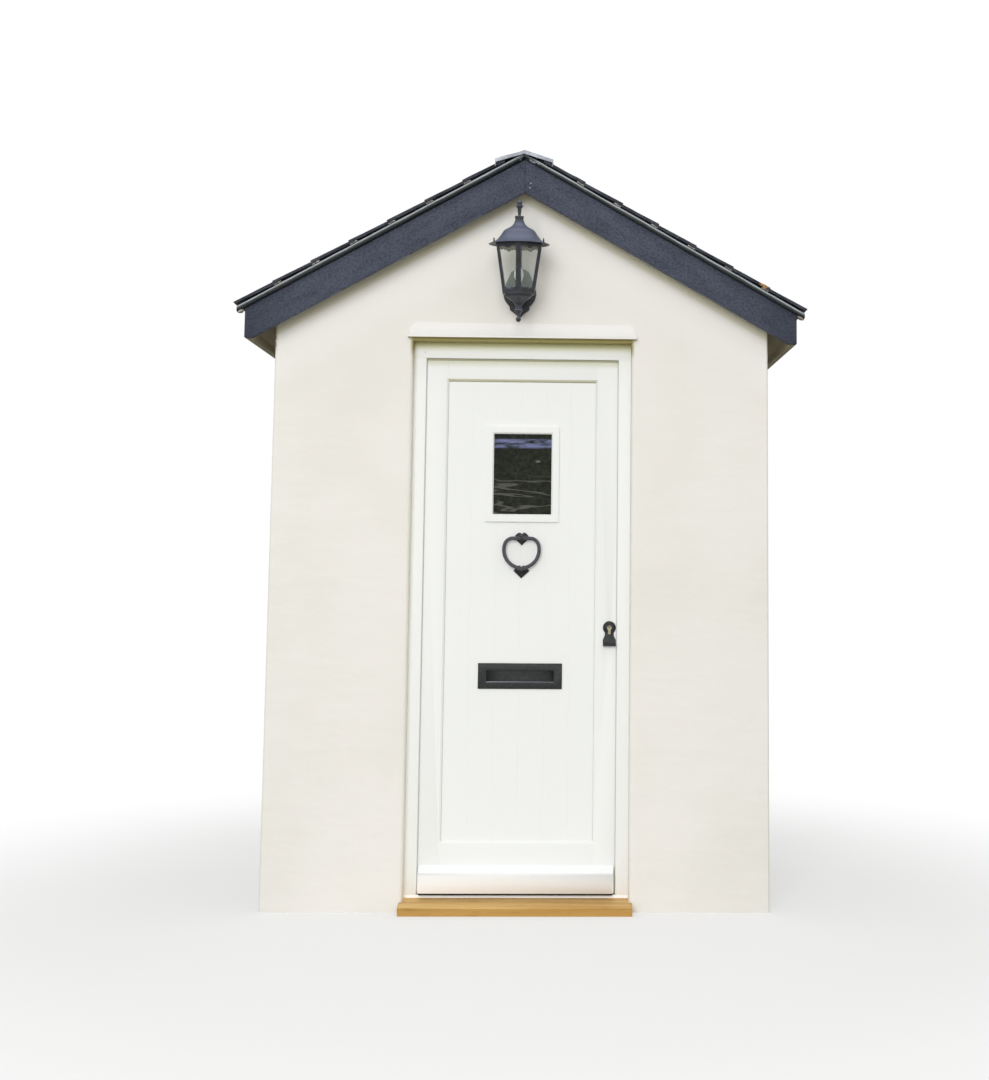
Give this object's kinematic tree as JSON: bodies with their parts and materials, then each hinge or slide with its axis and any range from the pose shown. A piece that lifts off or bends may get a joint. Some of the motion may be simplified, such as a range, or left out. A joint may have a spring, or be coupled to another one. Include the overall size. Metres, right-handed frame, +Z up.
{
  "type": "front door in a gabled porch",
  "caption": "Boarded front door with a vision panel, letterplate and ring knocker, hung in a rendered, slate-roofed gable porch with a wall lantern.",
  "frame": {"origin": "on the ground in the middle of the doorway, at the outer face of the front wall", "axes": "+X to the right seen from the front, +Y into the building, +Z up"},
  "size_m": [2.144, 1.183, 2.8283],
  "materials": {
    "wall_render": "smooth cream masonry paint on render",
    "floor_concrete": "trowelled",
    "white_joinery": "satin off-white paint",
    "oak": "oiled",
    "door_glass": "dark",
    "black_iron": "black satin",
    "lock_brass": "satin",
    "hinge_steel": "zinc plated",
    "barge_paint": "weathered dark blue-grey paint",
    "soffit_board": "stained",
    "verge_mortar": "weathered",
    "slate": "natural riven",
    "lead_sheet": "dull oxidised lead",
    "roof_timber": "sawn softwood",
    "lantern_metal": "black satin",
    "lantern_pane": "clear"
  },
  "bodies": {
    "porch": {"front_wall_left": "wall_render", "front_wall_right": "wall_render", "side_wall_left": "wall_render", "side_wall_right": "wall_render", "gable_wall": "wall_render", "drip_moulding": "wall_render", "floor_slab": "floor_concrete", "frame_head": "white_joinery", "frame_jamb_left": "white_joinery", "frame_jamb_right": "white_joinery", "door_sill": "white_joinery", "oak_threshold": "oak", "hinges_frame": "hinge_steel", "bargeboard_left": "barge_paint", "bargeboard_right": "barge_paint", "fascias": "barge_paint", "soffit_left": "soffit_board", "soffit_right": "soffit_board", "verge_strip_left": "verge_mortar", "verge_strip_right": "verge_mortar", "slates_left": "slate", "slates_right": "slate", "ridge_lead": "lead_sheet", "rafters": "roof_timber", "wall_plates": "roof_timber", "ridge_board": "roof_timber", "roof_deck": "roof_timber", "battens": "roof_timber", "lantern_hood": "lantern_metal", "lantern_finial": "lantern_metal", "lantern_cage": "lantern_metal", "lantern_base": "lantern_metal", "lantern_bracket": "lantern_metal", "lantern_glass": "lantern_pane", "lantern_lamp": "lantern_pane"},
    "door": {"hinge_stile": "white_joinery", "lock_stile": "white_joinery", "top_rail": "white_joinery", "bottom_rail": "white_joinery", "door_panel": "white_joinery", "vision_glass": "door_glass", "vision_beads": "white_joinery", "weatherboard": "white_joinery", "letterplate": "black_iron", "letterplate_inside": "black_iron", "knocker_plates": "black_iron", "cylinder_pull": "black_iron", "lock_cylinder": "lock_brass", "hinges_door": "hinge_steel"},
    "letter_flap": {"letter_flap": "black_iron"},
    "knocker": {"knocker_ring": "black_iron"}
  },
  "joints": [
    {"name": "door_hinge", "type": "hinge", "parent": "porch", "child": "door", "pos_m": [-0.3845, 0.1223, 1.06], "axis": [0, 0, 1], "range_deg": [0, 90]},
    {"name": "letter_flap_hinge", "type": "hinge", "parent": "door", "child": "letter_flap", "pos_m": [0.004, 0.077, 0.8775], "axis": [1, 0, 0], "range_deg": [0, 75], "stiffness_Nm_per_rad": 0.1, "springref_deg": -17.19},
    {"name": "knocker_hinge", "type": "hinge", "parent": "door", "child": "knocker", "pos_m": [0.004, 0.052, 1.373], "axis": [-1, 0, 0], "range_deg": [0, 80]}
  ]
}
